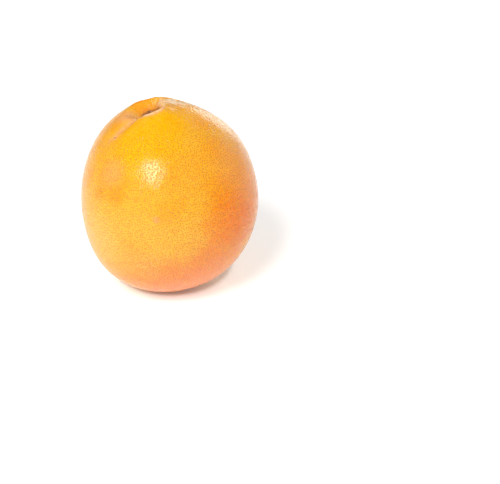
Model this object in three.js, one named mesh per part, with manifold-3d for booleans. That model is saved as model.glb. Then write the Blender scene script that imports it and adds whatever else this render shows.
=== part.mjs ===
// A whole grapefruit standing on a table, in millimetres, +Z up, as three.js geometry.
// It grew as one piece, so it is one solid: the peel's outer form, with the dry calyx joined to it.
// Its stem end leans to the back left, and it stands on the small flat spot where it presses on the table.
// The origin is at the middle of the fruit's footprint, on the table.
import * as THREE from "three";
import { mergeVertices } from "three/addons/utils/BufferGeometryUtils.js";
import Module from "manifold-3d";

const wasm = await Module();
wasm.setup();

// Driving dimensions, in millimetres and degrees
const DIAMETER = 104.2; // across the widest part, square to the stem's line
const LENGTH = 112.4; // from the stem end to the blossom end, before the swellings
const LEAN = 15.8; // how far the stem's line leans from upright
const LEAN_TOWARDS = 139; // compass angle of that lean, from +X towards +Y
const PRESSED = 0.95; // how much of the underside is pressed flat, which makes a spot about 19 across

// What makes the fruit lopsided: broad swellings, each at an angle from the stem and a compass angle round it,
// and two narrow ones, where the lip of the stem's hollow stands highest
const SWELLINGS = [
  { polar: 24, azimuth: 125, rise: 2.3, spread: 34 },
  { polar: 128, azimuth: -157, rise: 4.7, spread: 34 },
  { polar: 60, azimuth: 18, rise: 0.9, spread: 17 },
  { polar: 12, azimuth: -55, rise: 0.9, spread: 7 },
  { polar: 17, azimuth: 62, rise: 0.9, spread: 8 },
];

// The hollow that the stem grew from and the lip round it, measured along the skin from the stem's line
const HOLLOW = { depth: 7.2, floor: 2.4, edge: 12.4 };
const LIP = { rise: 1, at: 12.6, width: 4.4 };
const SLOPE = { towards: -158, halfWidth: 48, longer: 5, lower: 1 }; // where it opens gently, with no lip
const FOLD = { towards: 20, halfWidth: 45, nearer: 4, lower: 0.5 }; // where the lip folds in over the hollow

// Creases that run out of the hollow over the shoulder, each turning a little as it goes
const CREASES = [
  { azimuth: -125, turn: -0.9, depth: 2, reach: 43, width: 3.2 },
  { azimuth: 58, turn: -2.6, depth: 1.7, reach: 27, width: 1.7 },
  { azimuth: -35, turn: 0.6, depth: 0.4, reach: 22, width: 2.4 },
  { azimuth: 98, turn: -0.4, depth: 0.4, reach: 25, width: 2.3 },
  { azimuth: 146, turn: 0.5, depth: 0.5, reach: 30, width: 2.4 },
];
const CREASE_START = 4; // they begin this far from the stem's line
const CREASE_DEEPEST = 10; // and are deepest here, where they cross the lip

// The scar that the flower's style left at the other end: a raised spot in a shallow dimple
const SCAR = { dimple: 0.8, dimpleEdge: 5.5, rise: 0.7, edge: 2.4 };

// The dry calyx on the hollow's floor: five blunt lobes and the stub where the stem broke off
const CALYX = { lobes: 5, radius: 5, lobing: 0.16, thickness: 1.7, root: 2 };
const STUB = { radius: 1.9, rise: 0.6, pit: 0.3 };

// How finely the surfaces are cut into facets
const FRUIT_FACETS = { around: 76, along: 48, crowding: 0.5 };
const CALYX_FACETS = FRUIT_FACETS.around / 2;

const UP = new THREE.Vector3(0, 0, 1);
const radians = THREE.MathUtils.degToRad;
const { smoothstep, smootherstep } = THREE.MathUtils;
const leanAxis = directionAt(radians(LEAN), radians(LEAN_TOWARDS));

// A bell that is 1 in its middle and has nearly gone at twice its width
function bell(distance, width) {
  return Math.exp(-((distance / width) ** 2));
}

function directionAt(polar, azimuth) {
  const outward = Math.sin(polar);
  return new THREE.Vector3(outward * Math.cos(azimuth), outward * Math.sin(azimuth), Math.cos(polar));
}

// Turns a closed geometry into a solid that can be joined and cut
function solidFrom(geometry) {
  geometry.deleteAttribute("normal");
  geometry.deleteAttribute("uv");
  const merged = mergeVertices(geometry, 1e-4);
  return new wasm.Manifold(new wasm.Mesh({
    numProp: 3,
    vertProperties: new Float32Array(merged.getAttribute("position").array),
    triVerts: new Uint32Array(merged.getIndex().array),
  }));
}

function geometryFrom(solid) {
  const { vertProperties, triVerts } = solid.getMesh();
  const geometry = new THREE.BufferGeometry();
  geometry.setAttribute("position", new THREE.BufferAttribute(vertProperties, 3));
  geometry.setIndex(new THREE.BufferAttribute(triVerts, 1));
  geometry.computeVertexNormals();
  return geometry;
}

// Length along the skin from the stem's line to a place at an angle from it
function skinDistance(polar) {
  return (polar * (DIAMETER + LENGTH)) / 4;
}

// Distance from the fruit's middle to the skin of the plain oval, at an angle from the stem
function ovalRadius(polar) {
  return 1 / Math.hypot(Math.sin(polar) / (DIAMETER / 2), Math.cos(polar) / (LENGTH / 2));
}

function swelling(toward) {
  let rise = 0;
  for (const one of SWELLINGS) {
    const middle = directionAt(radians(one.polar), radians(one.azimuth));
    rise += one.rise * bell(toward.angleTo(middle), radians(one.spread));
  }
  return rise;
}

// How far a compass angle faces one side of the hollow, from 0 to 1
function facing(azimuth, side) {
  const aside = Math.acos(Math.cos(azimuth - radians(side.towards)));
  return bell(aside, radians(side.halfWidth));
}

function stemEnd(fromStem, azimuth) {
  const clear = smoothstep(fromStem, 0, HOLLOW.floor);
  const gentle = facing(azimuth, SLOPE) * clear;
  const folded = facing(azimuth, FOLD) * clear;
  const rise = LIP.rise - SLOPE.lower * gentle - FOLD.lower * folded;
  const nearer = FOLD.nearer * folded;
  const lip = rise * bell(fromStem - LIP.at + nearer, LIP.width);
  const edge = HOLLOW.edge + SLOPE.longer * gentle - nearer;
  return lip - HOLLOW.depth * (1 - smootherstep(fromStem, HOLLOW.floor, edge));
}

function blossomEnd(fromBlossom) {
  const raised = SCAR.rise * (1 - smootherstep(fromBlossom, 0, SCAR.edge));
  return raised - SCAR.dimple * (1 - smootherstep(fromBlossom, 0, SCAR.dimpleEdge));
}

// Depth of the deepest crease at a place on the shoulder
function creasing(fromStem, azimuth) {
  let deepest = 0;
  for (const crease of CREASES) {
    const along = radians(crease.azimuth + crease.turn * (fromStem - CREASE_DEEPEST));
    const aside = azimuth - along;
    if (Math.cos(aside) < 0) continue;
    const starts = smoothstep(fromStem, CREASE_START, CREASE_DEEPEST);
    const ends = 1 - smoothstep(fromStem, CREASE_DEEPEST, crease.reach);
    const across = bell(fromStem * Math.sin(aside), crease.width);
    deepest = Math.max(deepest, crease.depth * starts * ends * across);
  }
  return deepest;
}

// The skin in the fruit's own frame, with the stem's line along +Z
function skinAt(polar, azimuth) {
  const toward = directionAt(polar, azimuth);
  const fromStem = skinDistance(polar);
  const ends = stemEnd(fromStem, azimuth) + blossomEnd(skinDistance(Math.PI - polar));
  const reach = ovalRadius(polar) + swelling(toward) + ends - creasing(fromStem, azimuth);
  return toward.multiplyScalar(reach);
}

// A ball whose rings crowd towards the two ends, where the detail is, drawn out to the skin
function skinGeometry() {
  const { around, along, crowding } = FRUIT_FACETS;
  const ball = new THREE.SphereGeometry(1, around, along).rotateX(Math.PI / 2);
  const places = ball.getAttribute("position");
  const place = new THREE.Vector3();
  for (let i = 0; i < places.count; i++) {
    place.fromBufferAttribute(places, i);
    const even = place.angleTo(UP);
    const crowded = even - (crowding * Math.sin(2 * even)) / 2;
    const skin = skinAt(crowded, Math.atan2(place.y, place.x));
    places.setXYZ(i, skin.x, skin.y, skin.z);
  }
  return ball;
}

// Turned from a half profile, then drawn in between the lobes, with its root sunk into the hollow's floor
function calyxGeometry() {
  const top = CALYX.thickness;
  const stubTop = top + STUB.rise;
  const profile = [
    new THREE.Vector2(0, -CALYX.root),
    new THREE.Vector2(CALYX.radius * 0.86, -CALYX.root),
    new THREE.Vector2(CALYX.radius, top * 0.78),
    new THREE.Vector2(CALYX.radius * 0.9, top),
    new THREE.Vector2(STUB.radius * 1.25, top * 0.85),
    new THREE.Vector2(STUB.radius, stubTop - STUB.pit),
    new THREE.Vector2(STUB.radius * 0.8, stubTop),
    new THREE.Vector2(0, stubTop - STUB.pit),
  ];
  const turned = new THREE.LatheGeometry(profile, CALYX_FACETS).rotateX(Math.PI / 2);
  const places = turned.getAttribute("position");
  for (let i = 0; i < places.count; i++) {
    const [x, y] = [places.getX(i), places.getY(i)];
    const outside = smoothstep(Math.hypot(x, y), STUB.radius, CALYX.radius);
    const between = (1 - Math.cos(CALYX.lobes * Math.atan2(y, x))) / 2;
    const drawnIn = 1 - CALYX.lobing * outside * between;
    places.setXY(i, x * drawnIn, y * drawnIn);
  }
  // Its facets meet the skin's between their edges, so that joining them leaves no slivers
  const betweenFacets = Math.PI / FRUIT_FACETS.around;
  const floor = skinAt(0, 0).z;
  return turned.rotateZ(betweenFacets).translate(0, 0, floor);
}

// A block under the fruit that takes off what is pressed flat
function tableGeometry(lowest) {
  const thickness = 40;
  const block = new THREE.BoxGeometry(2 * DIAMETER, 2 * DIAMETER, thickness);
  return block.translate(0, 0, lowest + PRESSED - thickness / 2);
}

function fruitGeometry() {
  const upright = new THREE.Quaternion().setFromUnitVectors(UP, leanAxis);
  const skin = skinGeometry().applyQuaternion(upright);
  const calyx = calyxGeometry().applyQuaternion(upright);
  skin.computeBoundingBox();
  const table = tableGeometry(skin.boundingBox.min.z);
  const joined = solidFrom(skin).add(solidFrom(calyx)).subtract(solidFrom(table));
  const geometry = geometryFrom(joined);
  geometry.computeBoundingBox();
  const { min, max } = geometry.boundingBox;
  return geometry.translate(-(min.x + max.x) / 2, -(min.y + max.y) / 2, -min.z);
}

const peel = new THREE.MeshStandardMaterial({ color: 0xf6a32f, roughness: 0.38, metalness: 0 });
const fruit = new THREE.Mesh(fruitGeometry(), peel);
fruit.name = "fruit";

const grapefruit = new THREE.Group();
grapefruit.name = "grapefruit";
grapefruit.add(fruit);

export default grapefruit;
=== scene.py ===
import math
import bmesh
import bpy
from mathutils import Matrix, Quaternion, Vector


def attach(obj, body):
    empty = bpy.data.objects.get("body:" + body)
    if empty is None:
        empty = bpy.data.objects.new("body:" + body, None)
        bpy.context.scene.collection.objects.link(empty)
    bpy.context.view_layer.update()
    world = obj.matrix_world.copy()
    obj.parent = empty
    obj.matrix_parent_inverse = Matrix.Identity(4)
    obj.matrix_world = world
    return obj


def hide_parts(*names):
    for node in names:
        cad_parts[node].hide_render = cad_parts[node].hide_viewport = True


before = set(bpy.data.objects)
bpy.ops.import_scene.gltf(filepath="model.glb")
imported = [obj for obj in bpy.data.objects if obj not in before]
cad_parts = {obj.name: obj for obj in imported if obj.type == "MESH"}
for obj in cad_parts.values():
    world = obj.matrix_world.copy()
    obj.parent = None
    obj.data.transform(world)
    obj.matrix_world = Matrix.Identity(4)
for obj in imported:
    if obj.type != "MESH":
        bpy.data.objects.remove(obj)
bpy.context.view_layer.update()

# A whole grapefruit on a white table. Sizes are in metres unless a name ends in Mm, angles in degrees.
mm = 0.001
scene = bpy.context.scene

# The fruit's own line, from the blossom end to the stem end, as in the solid
fruit = {
    "middle": (0.22 * mm, 0.0, 55.74 * mm),  # where the stem's line crosses the widest part
    "lean": 15.8,  # of the stem's line from upright
    "leanTowards": 139,  # compass angle, from +X towards +Y
    "hollowFloor": 50.4 * mm,  # from the middle, along the stem's line
    "meanRadiusMm": 54.15,  # turns an angle from the stem into a length along the skin
}
leanTurn = math.radians(fruit["leanTowards"])
leanHinge = Vector((-math.sin(leanTurn), math.cos(leanTurn), 0))
leanRotation = Quaternion(leanHinge, math.radians(fruit["lean"]))
stemPlace = Matrix.Translation(fruit["middle"]) @ leanRotation.to_matrix().to_4x4()


# Camera, at the photograph's viewing angle

cameraSet = {
    "imageSize": (500, 484),  # pixels
    "middlePixel": (170.2, 195.6),  # where the fruit's middle falls in the picture
    "elevation": 32,
    "distance": 1.4,
    "lens": 170.9,  # millimetres, as the sensor's width is
    "sensor": 36.0,
}


def addCamera():
    tilt = math.radians(cameraSet["elevation"])
    right = Vector((1, 0, 0))
    up = Vector((0, math.sin(tilt), math.cos(tilt)))
    back = Vector((0, -math.cos(tilt), math.sin(tilt)))
    width, height = cameraSet["imageSize"]
    pixel = cameraSet["distance"] * cameraSet["sensor"] / (cameraSet["lens"] * width)
    aside = (width / 2 - cameraSet["middlePixel"][0]) * pixel
    below = (height / 2 - cameraSet["middlePixel"][1]) * pixel
    data = bpy.data.cameras.new("camera")
    data.lens = cameraSet["lens"]
    data.sensor_width = cameraSet["sensor"]
    camera = bpy.data.objects.new("camera", data)
    scene.collection.objects.link(camera)
    camera.location = Vector(fruit["middle"]) + right * aside - up * below + back * cameraSet["distance"]
    camera.rotation_euler = (math.pi / 2 - tilt, 0, 0)
    scene.camera = camera


addCamera()
print("camera is set")


# Helpers for node trees and for work in edit mode

noiseMiddle = 0.5  # a noise texture's values lie on both sides of this


def plug(tree, socket, value):
    if isinstance(value, bpy.types.NodeSocket):
        tree.links.new(value, socket)
    else:
        socket.default_value = value


def put(tree, kind, inputs=None, **settings):
    node = tree.nodes.new(kind)
    for name, value in settings.items():
        setattr(node, name, value)
    for key, value in (inputs or {}).items():
        plug(tree, node.inputs[key], value)
    return node


def maths(tree, operation, *values):
    node = put(tree, "ShaderNodeMath", operation=operation)
    for socket, value in zip(node.inputs, values):
        plug(tree, socket, value)
    return node.outputs[0]


def times(tree, first, second):
    return maths(tree, "MULTIPLY", first, second)


def addTimes(tree, height, pattern, rise):
    return maths(tree, "MULTIPLY_ADD", pattern, rise, height)


def vectorMaths(tree, operation, *values):
    node = put(tree, "ShaderNodeVectorMath", operation=operation)
    for socket, value in zip(node.inputs, values):
        plug(tree, socket, value)
    return node.outputs["Value" if operation in ("LENGTH", "DISTANCE") else "Vector"]


def fade(tree, value, start, end, low=0.0, high=1.0):
    inputs = {"Value": value, "From Min": start, "From Max": end, "To Min": low, "To Max": high}
    return put(tree, "ShaderNodeMapRange", inputs, interpolation_type="SMOOTHSTEP").outputs["Result"]


def noise(tree, vector, scale, detail=2.0, roughness=0.5):
    inputs = {"Vector": vector, "Scale": scale, "Detail": detail, "Roughness": roughness}
    return put(tree, "ShaderNodeTexNoise", inputs).outputs[0]


def mixColour(tree, share, first, second, blend="MIX"):
    node = put(tree, "ShaderNodeMix", data_type="RGBA", blend_type=blend)
    plug(tree, node.inputs[0], share)
    plug(tree, node.inputs[6], first)
    plug(tree, node.inputs[7], second)
    return node.outputs[2]


def newMaterial(name):
    material = bpy.data.materials.new(name)
    material.use_nodes = True
    tree = material.node_tree
    tree.nodes.clear()
    output = put(tree, "ShaderNodeOutputMaterial")
    shader = put(tree, "ShaderNodeBsdfPrincipled")
    tree.links.new(shader.outputs[0], output.inputs["Surface"])
    return material, tree, shader


def useModifier(piece, kind, **settings):
    modifier = piece.modifiers.new(kind.lower(), kind)
    for name, value in settings.items():
        setattr(modifier, name, value)
    bpy.context.view_layer.objects.active = piece
    bpy.ops.object.modifier_apply(modifier=modifier.name)


def soloSelect(piece):
    bpy.ops.object.select_all(action="DESELECT")
    piece.select_set(True)
    bpy.context.view_layer.objects.active = piece


def selectPoints(piece, isWanted):
    bpy.ops.mesh.select_mode(type="VERT")
    bpy.ops.mesh.select_all(action="DESELECT")
    shape = bmesh.from_edit_mesh(piece.data)
    for point in shape.verts:
        point.select_set(isWanted(point.co))
    shape.select_flush_mode()
    bmesh.update_edit_mesh(piece.data)


def selectFaces(piece, isWanted):
    bpy.ops.mesh.select_mode(type="FACE")
    bpy.ops.mesh.select_all(action="DESELECT")
    shape = bmesh.from_edit_mesh(piece.data)
    for face in shape.faces:
        face.select_set(isWanted(face))
    shape.select_flush_mode()
    bmesh.update_edit_mesh(piece.data)


# Patterns that the peel's form and its finish share, in millimetres along the fruit's own line

creases = {  # compass angle round the stem, turn in degrees a millimetre, reach and half width
    "frontLeft": {"azimuth": -125, "turn": -0.9, "reach": 43, "width": 1.3},
    "backRight": {"azimuth": 58, "turn": -2.6, "reach": 27, "width": 1.1},
}
creaseRun = {
    "startMm": (4.0, 8.0),  # from the stem's line
    "deepestMm": 10.0,  # where they cross the lip
    "ownSide": (0.0, 0.2),  # fades each out on the stem's other side, by the cosine of the angle round it
}
wrinkles = {
    "around": (3.2, 3.2, 0),  # how fast they change round the stem
    "alongPerMm": 0.055,  # and, much slower, away from it
    "scale": 3.4,
    "detail": 3.0,
    "roughness": 0.6,
    "startMm": (4.0, 9.0),
    "endMm": (30.0, 10.0),
}
pits = {
    "spacingMm": 1.6,
    "smallShare": 0.62,  # of that spacing, for the small pits between
    "randomness": 0.8,
    "dimple": (0.58, 0.0),  # where it starts and ends, in spacings from its middle
    "core": (0.34, 0.06),
    "smallCoreShare": 0.3,  # how dark the small ones are
    "nearStem": (18.0, 42.0, 0.3, 1.0),  # millimetres from the stem's line, and how dark all are there
}


def stemCoordinates(tree, place):
    backUpright = -math.radians(fruit["lean"])
    inputs = {"Vector": place, "Center": fruit["middle"], "Axis": leanHinge, "Angle": backUpright}
    upright = put(tree, "ShaderNodeVectorRotate", inputs, rotation_type="AXIS_ANGLE").outputs["Vector"]
    fromMiddle = vectorMaths(tree, "SUBTRACT", upright, fruit["middle"])
    own = vectorMaths(tree, "MULTIPLY", fromMiddle, (1 / mm, 1 / mm, 1 / mm))
    flat = vectorMaths(tree, "MULTIPLY", own, (1, 1, 0))
    parts = put(tree, "ShaderNodeSeparateXYZ", {0: own})
    polar = maths(tree, "ARCTAN2", vectorMaths(tree, "LENGTH", flat), parts.outputs["Z"])
    return {
        "own": own,
        "heading": vectorMaths(tree, "NORMALIZE", own),
        "around": vectorMaths(tree, "NORMALIZE", flat),
        "azimuth": maths(tree, "ARCTAN2", parts.outputs["Y"], parts.outputs["X"]),
        "fromStem": times(tree, polar, fruit["meanRadiusMm"]),
    }


def fromSpot(tree, stem, spot):  # distance in millimetres to a spot, given by its polar angle and azimuth
    polar, azimuth = (math.radians(angle) for angle in spot)
    outward = math.sin(polar)
    middle = (outward * math.cos(azimuth), outward * math.sin(azimuth), math.cos(polar))
    return times(tree, vectorMaths(tree, "DISTANCE", stem["heading"], middle), fruit["meanRadiusMm"])


def pitPattern(tree, stem, share=1.0):  # the wide dimple round each pit, and the pit's own dark core
    scale = 1 / (pits["spacingMm"] * share)
    inputs = {"Vector": stem["own"], "Scale": scale, "Randomness": pits["randomness"]}
    cells = put(tree, "ShaderNodeTexVoronoi", inputs, voronoi_dimensions="3D", feature="F1")
    toPit = vectorMaths(tree, "SUBTRACT", cells.outputs["Position"], stem["own"])
    alongSkin = vectorMaths(tree, "LENGTH", vectorMaths(tree, "CROSS_PRODUCT", toPit, stem["heading"]))
    fromPit = times(tree, alongSkin, scale)
    return fade(tree, fromPit, *pits["dimple"]), fade(tree, fromPit, *pits["core"])


def creasePattern(tree, stem, crease):  # distance to its middle line, and how strong it is here
    deepest = creaseRun["deepestMm"]
    atStem = math.radians(crease["azimuth"] - deepest * crease["turn"])
    turned = maths(tree, "MULTIPLY_ADD", stem["fromStem"], math.radians(crease["turn"]), atStem)
    aside = maths(tree, "SUBTRACT", stem["azimuth"], turned)
    across = times(tree, maths(tree, "SINE", aside), stem["fromStem"])
    ownSide = fade(tree, maths(tree, "COSINE", aside), *creaseRun["ownSide"])
    starts = fade(tree, stem["fromStem"], *creaseRun["startMm"])
    ends = fade(tree, stem["fromStem"], crease["reach"], deepest)
    return across, times(tree, ownSide, times(tree, starts, ends))


def wrinklePattern(tree, stem):  # fine folds that run outwards from the stem
    around = vectorMaths(tree, "MULTIPLY", stem["around"], wrinkles["around"])
    outwards = times(tree, stem["fromStem"], wrinkles["alongPerMm"])
    along = put(tree, "ShaderNodeCombineXYZ", {"Z": outwards}).outputs[0]
    streaks = noise(tree, vectorMaths(tree, "ADD", around, along), wrinkles["scale"],
                    wrinkles["detail"], wrinkles["roughness"])
    starts = fade(tree, stem["fromStem"], *wrinkles["startMm"])
    ends = fade(tree, stem["fromStem"], *wrinkles["endMm"])
    return times(tree, maths(tree, "SUBTRACT", streaks, noiseMiddle), times(tree, starts, ends))


# Peel: a ball drawn onto the solid's skin, smoothed, then given its relief

peelForm = {
    "ballRadius": 62 * mm,
    "ballSteps": 4,
    "cuts": 11,  # each of the ball's triangles is cut into 12 along each side
    "smoothing": 0.5,
    "smoothAll": 6,
    "smoothBody": 55,
    "bodyStartMm": 17,  # beyond this, from the stem, the solid's facets are larger and smoothed more
    "bodyFullMm": 40,
}
peelRelief = {
    "swells": (  # broad waves, ripples and a fine grain
        {"sizeMm": 21, "riseMm": 0.30, "detail": 1.0},
        {"sizeMm": 6, "riseMm": 0.10, "detail": 2.0},
        {"sizeMm": 2.8, "riseMm": 0.10, "detail": 0.0},
    ),
    "wrinklesMm": 0.95,
    "creasesMm": 0.45,
    "settleMm": 0.10,  # lowers the whole skin, so that its waves stay inside the solid's reach
    "clearOfTable": 4 * mm,
}
brownSpot = {
    "at": (30.1, -140.6),  # polar angle and azimuth
    "radiusMm": 0.85,
    "depthMm": 0.45,
    "haloMm": 2.2,
    "haloShare": 0.6,
    "darkShare": 0.4,  # of its radius, dark all over
}


def addRelief(piece):
    tree = bpy.data.node_groups.new("peelRelief", "GeometryNodeTree")
    tree.interface.new_socket("Geometry", in_out="INPUT", socket_type="NodeSocketGeometry")
    tree.interface.new_socket("Geometry", in_out="OUTPUT", socket_type="NodeSocketGeometry")
    start = put(tree, "NodeGroupInput")
    end = put(tree, "NodeGroupOutput")
    place = put(tree, "GeometryNodeInputPosition").outputs[0]
    normal = put(tree, "GeometryNodeInputNormal").outputs[0]
    stem = stemCoordinates(tree, place)
    height = -peelRelief["settleMm"]
    for swell in peelRelief["swells"]:
        pattern = noise(tree, stem["own"], 1 / swell["sizeMm"], swell["detail"])
        height = addTimes(tree, height, maths(tree, "SUBTRACT", pattern, noiseMiddle), swell["riseMm"])
    height = addTimes(tree, height, wrinklePattern(tree, stem), peelRelief["wrinklesMm"])
    for crease in creases.values():
        across, strength = creasePattern(tree, stem, crease)
        valley = fade(tree, maths(tree, "ABSOLUTE", across), crease["width"], 0.0)
        height = addTimes(tree, height, times(tree, valley, strength), -peelRelief["creasesMm"])
    hole = fade(tree, fromSpot(tree, stem, brownSpot["at"]), brownSpot["radiusMm"], 0.0)
    height = addTimes(tree, height, hole, -brownSpot["depthMm"])
    aboveTable = put(tree, "ShaderNodeSeparateXYZ", {0: place}).outputs["Z"]
    clear = fade(tree, aboveTable, 0.0, peelRelief["clearOfTable"])
    rise = times(tree, times(tree, height, clear), mm)
    scaled = put(tree, "ShaderNodeVectorMath", {0: normal, "Scale": rise}, operation="SCALE")
    inputs = {"Geometry": start.outputs[0], "Offset": scaled.outputs["Vector"]}
    moved = put(tree, "GeometryNodeSetPosition", inputs)
    tree.links.new(moved.outputs[0], end.inputs[0])
    useModifier(piece, "NODES", node_group=tree)


def markBody(peel):  # a group that takes hold gradually, away from the stem
    body = peel.vertex_groups.new(name="body")
    toStem = stemPlace.inverted()
    for vertex in peel.data.vertices:
        own = toStem @ vertex.co
        fromStem = own.angle(Vector((0, 0, 1))) * fruit["meanRadiusMm"]
        share = (fromStem - peelForm["bodyStartMm"]) / (peelForm["bodyFullMm"] - peelForm["bodyStartMm"])
        body.add([vertex.index], min(max(share, 0.0), 1.0), "REPLACE")
    return body.name


def addPeel():
    bpy.ops.object.select_all(action="DESELECT")
    bpy.ops.mesh.primitive_ico_sphere_add(
        subdivisions=peelForm["ballSteps"], radius=peelForm["ballRadius"], location=fruit["middle"])
    peel = bpy.context.active_object
    peel.name = "peel"
    bpy.ops.object.mode_set(mode="EDIT")
    bpy.ops.mesh.select_all(action="SELECT")
    bpy.ops.mesh.subdivide(number_cuts=peelForm["cuts"])
    bpy.ops.object.mode_set(mode="OBJECT")
    useModifier(peel, "CAST", cast_type="SPHERE", factor=1.0, use_radius_as_size=False,
                size=peelForm["ballRadius"])
    useModifier(peel, "SHRINKWRAP", target=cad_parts["fruit"], wrap_method="PROJECT",
                use_negative_direction=True, use_positive_direction=False)
    soloSelect(peel)
    bpy.ops.object.transform_apply(location=True, rotation=True, scale=True)
    smoothing = peelForm["smoothing"]
    useModifier(peel, "SMOOTH", factor=smoothing, iterations=peelForm["smoothAll"])
    body = markBody(peel)
    useModifier(peel, "SMOOTH", factor=smoothing, iterations=peelForm["smoothBody"], vertex_group=body)
    addRelief(peel)
    peel.vertex_groups.clear()
    soloSelect(peel)
    bpy.ops.object.shade_smooth()
    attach(peel, "root")
    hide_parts("fruit")
    return peel


# Peel's finish. Two values say where a pattern fades in, and two more after them how little and how much.

peelColours = {
    "gold": (0.80, 0.385, 0.028, 1),
    "lemon": (0.80, 0.39, 0.001, 1),
    "straw": (0.80, 0.44, 0.070, 1),
    "orange": (0.80, 0.30, 0.012, 1),
    "ember": (0.82, 0.175, 0.001, 1),
    "blush": (0.86, 0.34, 0.085, 1),
    "peach": (0.80, 0.22, 0.040, 1),
    "pit": (0.60, 0.44, 0.18, 1),  # multiplies what is round the pit
    "scar": (0.80, 0.38, 0.17, 1),
    # pale also serves as painted highlight by the hollow; russet and dark also as painted shade in the
    # creases and the hollow
    "pale": (0.96, 0.72, 0.47, 1),
    "russet": (0.50, 0.16, 0.04, 1),
    "dark": (0.20, 0.045, 0.012, 1),
}
clouding = {"sizeMm": 30, "orange": (0.42, 0.66, 0.0, 0.6)}
mottling = {
    "sizeMm": 3.0,
    "detail": 3.0,
    "roughness": 0.6,
    "gold": (0.40, 0.70, 0.0, 0.28),
    "ember": (0.50, 0.25, 0.0, 0.22),
}
patches = (  # place by polar angle and azimuth, full and faded radius in millimetres, colour and share
    ((34, -95), 8, 32, "lemon", 0.9),
    ((25, -62), 4, 16, "lemon", 0.85),
    ((37, -152), 4, 14, "gold", 0.7),
    ((97, -141), 4, 26, "straw", 0.8),
    ((96, -44), 4, 34, "ember", 0.5),
    ((95, -22), 8, 32, "ember", 0.6),
    ((108, -38), 5, 36, "ember", 0.8),
    # painted shade on the hollow's far wall
    ((9, 120), 3, 9, "ember", 0.4),
    ((14, -160), 2, 10, "scar", 0.75),
    # painted highlight on the ridge right of the hollow
    ((12, 14), 2, 10, "pale", 0.25),
    ((54, -36), 3, 15, "orange", 0.6),
    ((35, -22), 2, 11, "orange", 0.7),
    ((71, -23), 5, 28, "blush", 0.7),
    ((133, -66), 6, 34, "peach", 0.7),
    ((138, -112), 8, 38, "peach", 0.6),
    ((53, -127), 3, 13, "blush", 0.7),
    ((66, -121), 2, 9, "orange", 0.7),
    ((57, -155), 1, 8, "orange", 0.8),
    ((84, -95), 1.2, 2.8, "blush", 0.9),
    ((150, -80), 14, 38, "peach", 0.85),
    ((80, 80), 6, 28, "orange", 0.8),
    ((60, 160), 5, 24, "lemon", 0.8),
    ((110, 130), 5, 22, "blush", 0.6),
)
raggedEdge = {"sizeMm": 9, "detail": 3.0, "roughness": 0.6, "share": 0.5}  # share of a patch's faded radius


def paintPatches(tree, stem, colour):
    edge = raggedEdge
    pattern = noise(tree, stem["own"], 1 / edge["sizeMm"], edge["detail"], edge["roughness"])
    ragged = maths(tree, "SUBTRACT", pattern, noiseMiddle)
    for at, full, faded, name, share in patches:
        wandering = addTimes(tree, fromSpot(tree, stem, at), ragged, faded * edge["share"])
        colour = mixColour(tree, fade(tree, wandering, faded, full, 0.0, share), colour, peelColours[name])
    return colour


# Painted highlight on the fine folds' ridges and painted shade in their valleys, right of the hollow
foldLightAndShade = {
    "at": (15, 14),
    "radiusMm": (14.0, 7.0),
    "pale": (-0.01, 0.06),  # painted highlight, on the fine folds' ridges
    "paleShare": 0.85,
    "dark": (-0.02, -0.09),  # and painted shade, in their valleys
    "darkShare": 0.30,
}


# Paints highlight on the folds' ridges and shade in their valleys
def paintFoldLightAndShade(tree, stem, colour):
    folds = wrinklePattern(tree, stem)
    pale = times(tree, fade(tree, folds, *foldLightAndShade["pale"]), foldLightAndShade["paleShare"])
    dark = times(tree, fade(tree, folds, *foldLightAndShade["dark"]), foldLightAndShade["darkShare"])
    here = fade(tree, fromSpot(tree, stem, foldLightAndShade["at"]), *foldLightAndShade["radiusMm"])
    colour = mixColour(tree, times(tree, here, pale), colour, peelColours["pale"])
    return mixColour(tree, times(tree, here, dark), colour, peelColours["russet"])


scarBand = {  # along the crease at the front left
    "halfWidthMm": (4.5, 0.6),
    "strength": (0.0, 0.5),
    "drawnOut": 0.16,  # how much slower its streaks change along the crease than across it
    "detail": 3.0,
    "roughness": 0.6,
    "streaks": (0.40, 0.60, 0.15, 0.9),
    "speckMm": 0.8,
    "specks": (0.52, 0.66, 0.0, 0.45),
}
backCreaseShade = {"halfWidthMm": (1.0, 0.1), "share": 0.6}  # painted shade: a dark line in the crease at the back right


def paintScarBand(tree, stem, colour):
    across, strength = creasePattern(tree, stem, creases["frontLeft"])
    near = fade(tree, maths(tree, "ABSOLUTE", across), *scarBand["halfWidthMm"])
    band = times(tree, near, fade(tree, strength, *scarBand["strength"]))
    along = times(tree, stem["fromStem"], scarBand["drawnOut"])
    drawnOut = put(tree, "ShaderNodeCombineXYZ", {"X": across, "Y": along}).outputs[0]
    pattern = noise(tree, drawnOut, 1.0, scarBand["detail"], scarBand["roughness"])
    streaks = fade(tree, pattern, *scarBand["streaks"])
    colour = mixColour(tree, times(tree, band, streaks), colour, peelColours["scar"])
    specks = fade(tree, noise(tree, stem["own"], 1 / scarBand["speckMm"]), *scarBand["specks"])
    return mixColour(tree, times(tree, band, specks), colour, peelColours["russet"])


# Painted shade along the bottom of the crease at the back right
def paintBackCreaseShade(tree, stem, colour):
    across, strength = creasePattern(tree, stem, creases["backRight"])
    near = fade(tree, maths(tree, "ABSOLUTE", across), *backCreaseShade["halfWidthMm"])
    line = times(tree, near, strength)
    return mixColour(tree, times(tree, line, backCreaseShade["share"]), colour, peelColours["russet"])


lip = {
    "fromStemMm": 12.4,
    "foldTowards": 20,  # compass angle towards which the lip lies nearer to the stem
    "foldNearerMm": 4.0,
    "foldSpread": (0.1, 1.0),
    "dryAt": (13, -85),  # the part that dried pale
    "dryRadiusMm": (13.0, 8.0),
    "dryHalfWidthMm": (2.8, 0.6),
    "dryShare": 0.8,
    # a pale broken line on the lip's crest: painted highlight
    "lineHalfWidthMm": (1.2, 0.1),
    "brokenMm": 1.6,
    "broken": (0.38, 0.60, 0.1, 0.8),
}


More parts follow.
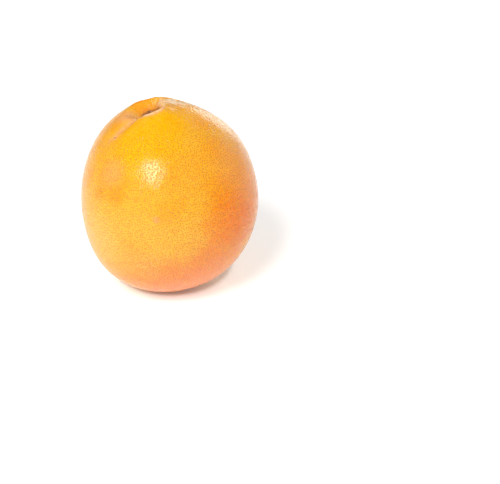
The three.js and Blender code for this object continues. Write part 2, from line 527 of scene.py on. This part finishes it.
def paintLip(tree, stem, colour):
    fromFold = maths(tree, "SUBTRACT", stem["azimuth"], math.radians(lip["foldTowards"]))
    nearest = lip["fromStemMm"] - lip["foldNearerMm"]
    lipAt = fade(tree, maths(tree, "COSINE", fromFold), *lip["foldSpread"], lip["fromStemMm"], nearest)
    fromLip = maths(tree, "ABSOLUTE", maths(tree, "SUBTRACT", stem["fromStem"], lipAt))
    here = fade(tree, fromSpot(tree, stem, lip["dryAt"]), *lip["dryRadiusMm"])
    dry = times(tree, fade(tree, fromLip, *lip["dryHalfWidthMm"]), here)
    colour = mixColour(tree, times(tree, dry, lip["dryShare"]), colour, peelColours["scar"])
    # Painted highlight: a pale broken line along the lip's crest
    line = times(tree, fade(tree, fromLip, *lip["lineHalfWidthMm"]), here)
    broken = fade(tree, noise(tree, stem["own"], 1 / lip["brokenMm"]), *lip["broken"])
    return mixColour(tree, times(tree, line, broken), colour, peelColours["pale"])


hollowShade = {  # painted shade, darker towards the hollow's floor; millimetres from the stem's line
    "russet": (8.4, 5.0, 0.0, 0.7),
    "dark": (6.4, 4.8, 0.0, 0.9),
}


# Painted shade in the stem's hollow, darkest nearest the stem's line
def paintHollowShade(tree, stem, colour):
    for name, spread in hollowShade.items():
        colour = mixColour(tree, fade(tree, stem["fromStem"], *spread), colour, peelColours[name])
    return colour


def paintBrownSpot(tree, stem, colour):
    away = fromSpot(tree, stem, brownSpot["at"])
    radius = brownSpot["radiusMm"]
    halo = fade(tree, away, brownSpot["haloMm"], radius, 0.0, brownSpot["haloShare"])
    colour = mixColour(tree, halo, colour, peelColours["scar"])
    core = fade(tree, away, radius, radius * brownSpot["darkShare"])
    return mixColour(tree, core, colour, peelColours["dark"])


peelGloss = {
    "roughness": 0.10,
    "pitRoughness": 0.35,
    "specular": 0.35,
    "depthShare": 0.15,  # how much of the light goes into the peel
    "depth": 2.2 * mm,
    "depthColours": (1.0, 0.45, 0.12),  # how far red, green and blue go, as shares of that depth
}
peelBump = {"dimplesMm": 0.06, "pitsMm": 0.14, "smallPitsMm": 0.02, "grainMm": 0.04, "grainSizeMm": 2.0}


def peelFinish():
    material, tree, shader = newMaterial("peelSkin")
    stem = stemCoordinates(tree, put(tree, "ShaderNodeTexCoord").outputs["Object"])
    own = stem["own"]
    clouds = fade(tree, noise(tree, own, 1 / clouding["sizeMm"]), *clouding["orange"])
    colour = mixColour(tree, clouds, peelColours["gold"], peelColours["orange"])
    colour = paintPatches(tree, stem, colour)
    mottle = noise(tree, own, 1 / mottling["sizeMm"], mottling["detail"], mottling["roughness"])
    for name in ("gold", "ember"):
        colour = mixColour(tree, fade(tree, mottle, *mottling[name]), colour, peelColours[name])
    dimple, core = pitPattern(tree, stem)
    smallDimple, smallCore = pitPattern(tree, stem, pits["smallShare"])
    cores = maths(tree, "MAXIMUM", core, times(tree, smallCore, pits["smallCoreShare"]))
    darkness = times(tree, cores, fade(tree, stem["fromStem"], *pits["nearStem"]))
    colour = mixColour(tree, darkness, colour, peelColours["pit"], blend="MULTIPLY")
    for paint in (paintFoldLightAndShade, paintScarBand, paintLip, paintBackCreaseShade, paintHollowShade, paintBrownSpot):
        colour = paint(tree, stem, colour)
    height = times(tree, dimple, -peelBump["dimplesMm"])
    height = addTimes(tree, height, core, -peelBump["pitsMm"])
    height = addTimes(tree, height, smallDimple, -peelBump["smallPitsMm"])
    height = addTimes(tree, height, noise(tree, own, 1 / peelBump["grainSizeMm"]), peelBump["grainMm"])
    bump = put(tree, "ShaderNodeBump", {"Height": height, "Strength": 1.0, "Distance": mm})
    roughness = fade(tree, core, 0.0, 1.0, peelGloss["roughness"], peelGloss["pitRoughness"])
    plug(tree, shader.inputs["Base Color"], colour)
    plug(tree, shader.inputs["Normal"], bump.outputs["Normal"])
    plug(tree, shader.inputs["Roughness"], roughness)
    shader.inputs["Specular IOR Level"].default_value = peelGloss["specular"]
    shader.inputs["Subsurface Weight"].default_value = peelGloss["depthShare"]
    shader.inputs["Subsurface Radius"].default_value = peelGloss["depthColours"]
    shader.inputs["Subsurface Scale"].default_value = peelGloss["depth"]
    return material


peel = addPeel()
peel.data.materials.append(peelFinish())
print("peel has", len(peel.data.polygons), "faces")


# Calyx: the dry star that held the fruit, with the stub where the stem broke off

calyxForm = {
    "radius": 5.2 * mm,
    "sides": 40,
    "lobes": 5,
    "root": 1.8 * mm,  # how far it is sunk into the hollow's floor
    "rootRing": 1.5 * mm,
    "thickness": 1.85 * mm,  # above the floor
    "notches": (0.70, 0.82, 0.95),  # how far the rim is drawn in, from the middle of a notch outwards
    "notchFrom": 1.4,  # stub radii from the middle
    "rim": 0.5 * mm,
    "slope": 1.3 * mm,  # how wide the rim's inner side is
    "trough": 0.45 * mm,
    "stubRadius": 1.9 * mm,
    "stubRise": 0.95 * mm,
    "stubTaper": 0.86,
    "stubRim": 0.5 * mm,
    "stubPit": 0.45 * mm,
    "tipHalfWidth": 1.6,  # sides of the star
    "tipFrom": (0.85, 0.9),  # shares of the radius and of the thickness
    "tipCurl": 0.35 * mm,
    "roundings": 2,
    "crumpleSize": 1.6 * mm,
    "crumple": 0.35 * mm,
}
endOn = 0.9  # a face whose normal is nearer than this to the calyx's line is on its top or its root


def shapeStub(calyx):
    form = calyxForm
    toStub = form["radius"] - form["rim"] - form["slope"] - form["stubRadius"]
    taper = form["stubTaper"]
    selectFaces(calyx, lambda face: face.normal.z > endOn)
    bpy.ops.mesh.inset(thickness=form["rim"])
    bpy.ops.mesh.inset(thickness=form["slope"])
    bpy.ops.transform.translate(value=(0, 0, -form["trough"]))
    bpy.ops.mesh.inset(thickness=toStub)
    bpy.ops.mesh.extrude_region_move(TRANSFORM_OT_translate={"value": (0, 0, form["stubRise"])})
    bpy.ops.transform.resize(value=(taper, taper, 1), center_override=(0, 0, 0))
    bpy.ops.mesh.inset(thickness=form["stubRim"])
    bpy.ops.transform.translate(value=(0, 0, -form["stubPit"]))
    bpy.ops.mesh.inset(thickness=form["stubRim"])
    selectFaces(calyx, lambda face: face.normal.z < -endOn)
    bpy.ops.mesh.inset(thickness=form["rootRing"])
    bpy.ops.mesh.inset(thickness=form["rootRing"])


def shapeLobes(calyx):
    form = calyxForm
    lobeAngle = 2 * math.pi / form["lobes"]
    step = 2 * math.pi / form["sides"]
    outerShare, upperShare = form["tipFrom"]
    for columns, keep in enumerate(form["notches"]):
        def isNotch(place):
            turn = math.atan2(place.y, place.x) % lobeAngle
            fromNotch = abs(min(turn, lobeAngle - turn) - columns * step)
            return place.xy.length > form["stubRadius"] * form["notchFrom"] and fromNotch < step / 2
        selectPoints(calyx, isNotch)
        bpy.ops.transform.resize(value=(keep, keep, 1), center_override=(0, 0, 0))

    def isTip(place):
        turn = math.atan2(place.y, place.x) % lobeAngle
        onTip = abs(turn - lobeAngle / 2) < form["tipHalfWidth"] * step
        isOuter = place.xy.length > form["radius"] * outerShare
        return onTip and isOuter and place.z > form["thickness"] * upperShare
    selectPoints(calyx, isTip)
    bpy.ops.transform.translate(value=(0, 0, form["tipCurl"]))


def addCalyx():
    form = calyxForm
    depth = form["root"] + form["thickness"]
    bpy.ops.object.select_all(action="DESELECT")
    bpy.ops.mesh.primitive_cylinder_add(
        vertices=form["sides"], radius=form["radius"], depth=depth, location=(0, 0, depth / 2 - form["root"]))
    calyx = bpy.context.active_object
    calyx.name = "calyx"
    bpy.ops.object.transform_apply(location=True)
    bpy.ops.object.mode_set(mode="EDIT")
    shapeStub(calyx)
    shapeLobes(calyx)
    bpy.ops.object.mode_set(mode="OBJECT")
    useModifier(calyx, "SUBSURF", levels=form["roundings"], render_levels=form["roundings"])
    crumple = bpy.data.textures.new("crumple", "CLOUDS")
    crumple.noise_scale = form["crumpleSize"]
    useModifier(calyx, "DISPLACE", texture=crumple, strength=form["crumple"], mid_level=noiseMiddle)
    calyx.matrix_world = stemPlace @ Matrix.Translation((0, 0, fruit["hollowFloor"]))
    soloSelect(calyx)
    bpy.ops.object.transform_apply(location=True, rotation=True, scale=True)
    bpy.ops.object.shade_smooth()
    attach(calyx, "root")
    return calyx


calyxColours = {
    "dark": (0.14, 0.045, 0.015, 1),
    "tan": (0.45, 0.19, 0.07, 1),
    "grey": (0.30, 0.18, 0.10, 1),
}
calyxLook = {
    "crumbMm": 1.1,
    "detail": 4.0,
    "coarseness": 0.65,
    "crumbs": (0.40, 0.62),
    "bloomMm": 2.6,
    "bloom": (0.50, 0.70, 0.0, 0.6),
    "roughness": (0.3, 0.7, 0.65, 0.9),
    "bump": 0.3 * mm,
    "bumpStrength": 0.9,
}


def calyxFinish():
    material, tree, shader = newMaterial("dryCalyx")
    look = calyxLook
    own = stemCoordinates(tree, put(tree, "ShaderNodeTexCoord").outputs["Object"])["own"]
    crumbs = noise(tree, own, 1 / look["crumbMm"], look["detail"], look["coarseness"])
    colour = mixColour(tree, fade(tree, crumbs, *look["crumbs"]), calyxColours["dark"], calyxColours["tan"])
    bloom = fade(tree, noise(tree, own, 1 / look["bloomMm"]), *look["bloom"])
    colour = mixColour(tree, bloom, colour, calyxColours["grey"])
    relief = {"Height": crumbs, "Strength": look["bumpStrength"], "Distance": look["bump"]}
    bump = put(tree, "ShaderNodeBump", relief)
    plug(tree, shader.inputs["Base Color"], colour)
    plug(tree, shader.inputs["Normal"], bump.outputs["Normal"])
    plug(tree, shader.inputs["Roughness"], fade(tree, crumbs, *look["roughness"]))
    return material


calyx = addCalyx()
calyx.data.materials.append(calyxFinish())
print("calyx has", len(calyx.data.polygons), "faces")


# Table and lights

stage = {
    "tableSize": 8.0,
    "tableWhite": 0.93,
    "tableGloss": 0.12,
    # The table glows though it is no lamp: painted light, turned down in a painted shadow round the fruit's
    # foot
    "glow": (0.06, 0.38),  # of the table, in the fruit's shade and beyond it
    "shadeMiddle": (0, 14 * mm, 0),
    "shade": (34 * mm, 38.5 * mm),  # from that middle, where the shade ends
    "world": 0.30,
    "lightDistance": 1.7,
}
lights = {  # where each stands as seen from the fruit, its width in metres and its energy in watts
    "key": {"azimuth": -119.7, "elevation": 49.4, "size": 0.80, "energy": 29.5, "mirrored": True},
    "left": {"azimuth": -168, "elevation": 12, "size": 1.8, "energy": 6.5, "mirrored": False},
    "right": {"azimuth": -12, "elevation": 42, "size": 2.2, "energy": 12.5, "mirrored": False},
    "back": {"azimuth": 70, "elevation": 6, "size": 0.64, "energy": 3.6, "mirrored": True},
}


def addLight(name, light):
    turn, rise = math.radians(light["azimuth"]), math.radians(light["elevation"])
    toward = Vector((math.cos(turn) * math.cos(rise), math.sin(turn) * math.cos(rise), math.sin(rise)))
    data = bpy.data.lights.new(name, "AREA")
    data.shape = "DISK"
    data.size = light["size"]
    data.energy = light["energy"]
    lamp = bpy.data.objects.new(name, data)
    lamp.visible_camera = False
    lamp.visible_glossy = light["mirrored"]
    lamp.location = Vector(fruit["middle"]) + toward * stage["lightDistance"]
    lamp.rotation_euler = toward.to_track_quat("Z", "Y").to_euler()
    scene.collection.objects.link(lamp)


def addTable():
    bpy.ops.object.select_all(action="DESELECT")
    bpy.ops.mesh.primitive_plane_add(size=stage["tableSize"])
    table = bpy.context.active_object
    table.name = "table"
    material, tree, shader = newMaterial("tableTop")
    white = stage["tableWhite"]
    place = put(tree, "ShaderNodeTexCoord").outputs["Object"]
    fromShade = vectorMaths(tree, "DISTANCE", place, stage["shadeMiddle"])
    # painted light on the table, less inside a painted shadow round the fruit
    glow = fade(tree, fromShade, *stage["shade"], *stage["glow"])
    shader.inputs["Base Color"].default_value = (white, white, white, 1)
    shader.inputs["Roughness"].default_value = stage["tableGloss"]
    shader.inputs["Emission Color"].default_value = (1, 1, 1, 1)
    plug(tree, shader.inputs["Emission Strength"], glow)
    table.data.materials.append(material)


def addRoom():
    world = bpy.data.worlds.new("studio")
    world.use_nodes = True
    background = world.node_tree.nodes["Background"]
    background.inputs["Color"].default_value = (1, 1, 1, 1)
    background.inputs["Strength"].default_value = stage["world"]
    world.cycles_visibility.glossy = False  # the peel reflects a dark room round the set
    scene.world = world


addTable()
addRoom()
for lightName, light in lights.items():
    addLight(lightName, light)
scene.view_settings.view_transform = "Standard"
print("table and lights are set")
